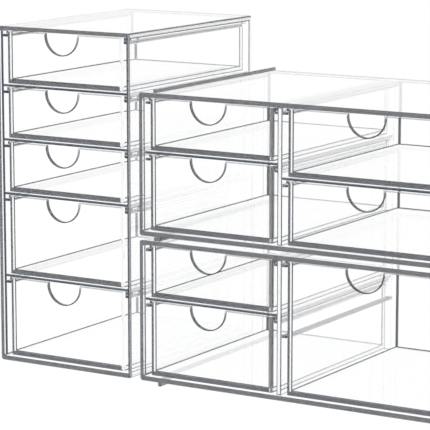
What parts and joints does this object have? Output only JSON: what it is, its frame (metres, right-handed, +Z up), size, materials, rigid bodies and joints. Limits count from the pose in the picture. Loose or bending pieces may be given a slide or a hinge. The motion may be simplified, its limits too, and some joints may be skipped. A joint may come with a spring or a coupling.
{
  "type": "drawer organizer",
  "caption": "Clear organizer set: a drawer tower beside two stacked wide drawer units. Drawers with finger notches hang on side rails and slide out to hold make-up and jewellery.",
  "frame": {"origin": "centre of the whole set's footprint, on the floor", "axes": "+Z up; drawer fronts face -Y and open that way; the tower is at -X and the wide units at +X"},
  "size_m": [0.4526, 0.21, 0.2952],
  "materials": {
    "sleeve_plastic": "clear, polished",
    "rail_plastic": "clear, polished",
    "drawer_plastic": "clear, polished"
  },
  "bodies": {
    "root": {"tower_sleeve": "sleeve_plastic", "tower_back_panel": "sleeve_plastic", "tower_left_rail_panel": "rail_plastic", "tower_right_rail_panel": "rail_plastic", "tower_shelf_1": "sleeve_plastic", "tower_shelf_2": "sleeve_plastic", "tower_shelf_3": "sleeve_plastic", "tower_shelf_4": "sleeve_plastic", "lower_sleeve": "sleeve_plastic", "lower_back_panel": "sleeve_plastic", "lower_left_rail_panel": "rail_plastic", "lower_right_rail_panel": "rail_plastic", "lower_divider": "rail_plastic", "lower_left_shelf": "sleeve_plastic", "lower_left_rib": "rail_plastic", "lower_right_rib": "rail_plastic", "lower_left_foot": "rail_plastic", "lower_right_foot": "rail_plastic"},
    "upper_unit": {"upper_sleeve": "sleeve_plastic", "upper_back_panel": "sleeve_plastic", "upper_left_rail_panel": "rail_plastic", "upper_right_rail_panel": "rail_plastic", "upper_divider": "rail_plastic", "upper_left_shelf": "sleeve_plastic", "upper_right_shelf": "sleeve_plastic", "upper_left_rib": "rail_plastic", "upper_right_rib": "rail_plastic", "upper_left_foot": "rail_plastic", "upper_right_foot": "rail_plastic"},
    "tower_drawer_1": {"tower_drawer_1": "drawer_plastic"},
    "tower_drawer_2": {"tower_drawer_2": "drawer_plastic"},
    "tower_drawer_3": {"tower_drawer_3": "drawer_plastic"},
    "tower_drawer_4": {"tower_drawer_4": "drawer_plastic"},
    "tower_drawer_5": {"tower_drawer_5": "drawer_plastic"},
    "lower_left_top_drawer": {"lower_left_top_drawer": "drawer_plastic"},
    "lower_left_bottom_drawer": {"lower_left_bottom_drawer": "drawer_plastic"},
    "upper_left_top_drawer": {"upper_left_top_drawer": "drawer_plastic"},
    "upper_left_bottom_drawer": {"upper_left_bottom_drawer": "drawer_plastic"},
    "lower_right_drawer": {"lower_right_drawer": "drawer_plastic"},
    "upper_right_top_drawer": {"upper_right_top_drawer": "drawer_plastic"},
    "upper_right_bottom_drawer": {"upper_right_bottom_drawer": "drawer_plastic"}
  },
  "joints": [
    {"name": "upper_unit_lift", "type": "slide", "parent": "root", "child": "upper_unit", "axis": [0, 0, 1], "range_m": [0, 0.04]},
    {"name": "tower_drawer_1_slide", "type": "slide", "parent": "root", "child": "tower_drawer_1", "axis": [0, -1, 0], "range_m": [0, 0.15]},
    {"name": "tower_drawer_2_slide", "type": "slide", "parent": "root", "child": "tower_drawer_2", "axis": [0, -1, 0], "range_m": [0, 0.15]},
    {"name": "tower_drawer_3_slide", "type": "slide", "parent": "root", "child": "tower_drawer_3", "axis": [0, -1, 0], "range_m": [0, 0.15]},
    {"name": "tower_drawer_4_slide", "type": "slide", "parent": "root", "child": "tower_drawer_4", "axis": [0, -1, 0], "range_m": [0, 0.15]},
    {"name": "tower_drawer_5_slide", "type": "slide", "parent": "root", "child": "tower_drawer_5", "axis": [0, -1, 0], "range_m": [0, 0.15]},
    {"name": "lower_left_top_drawer_slide", "type": "slide", "parent": "root", "child": "lower_left_top_drawer", "axis": [0, -1, 0], "range_m": [0, 0.15]},
    {"name": "lower_left_bottom_drawer_slide", "type": "slide", "parent": "root", "child": "lower_left_bottom_drawer", "axis": [0, -1, 0], "range_m": [0, 0.15]},
    {"name": "upper_left_top_drawer_slide", "type": "slide", "parent": "upper_unit", "child": "upper_left_top_drawer", "axis": [0, -1, 0], "range_m": [0, 0.15]},
    {"name": "upper_left_bottom_drawer_slide", "type": "slide", "parent": "upper_unit", "child": "upper_left_bottom_drawer", "axis": [0, -1, 0], "range_m": [0, 0.15]},
    {"name": "lower_right_drawer_slide", "type": "slide", "parent": "root", "child": "lower_right_drawer", "axis": [0, -1, 0], "range_m": [0, 0.15]},
    {"name": "upper_right_top_drawer_slide", "type": "slide", "parent": "upper_unit", "child": "upper_right_top_drawer", "axis": [0, -1, 0], "range_m": [0, 0.15]},
    {"name": "upper_right_bottom_drawer_slide", "type": "slide", "parent": "upper_unit", "child": "upper_right_bottom_drawer", "axis": [0, -1, 0], "range_m": [0, 0.15]}
  ]
}
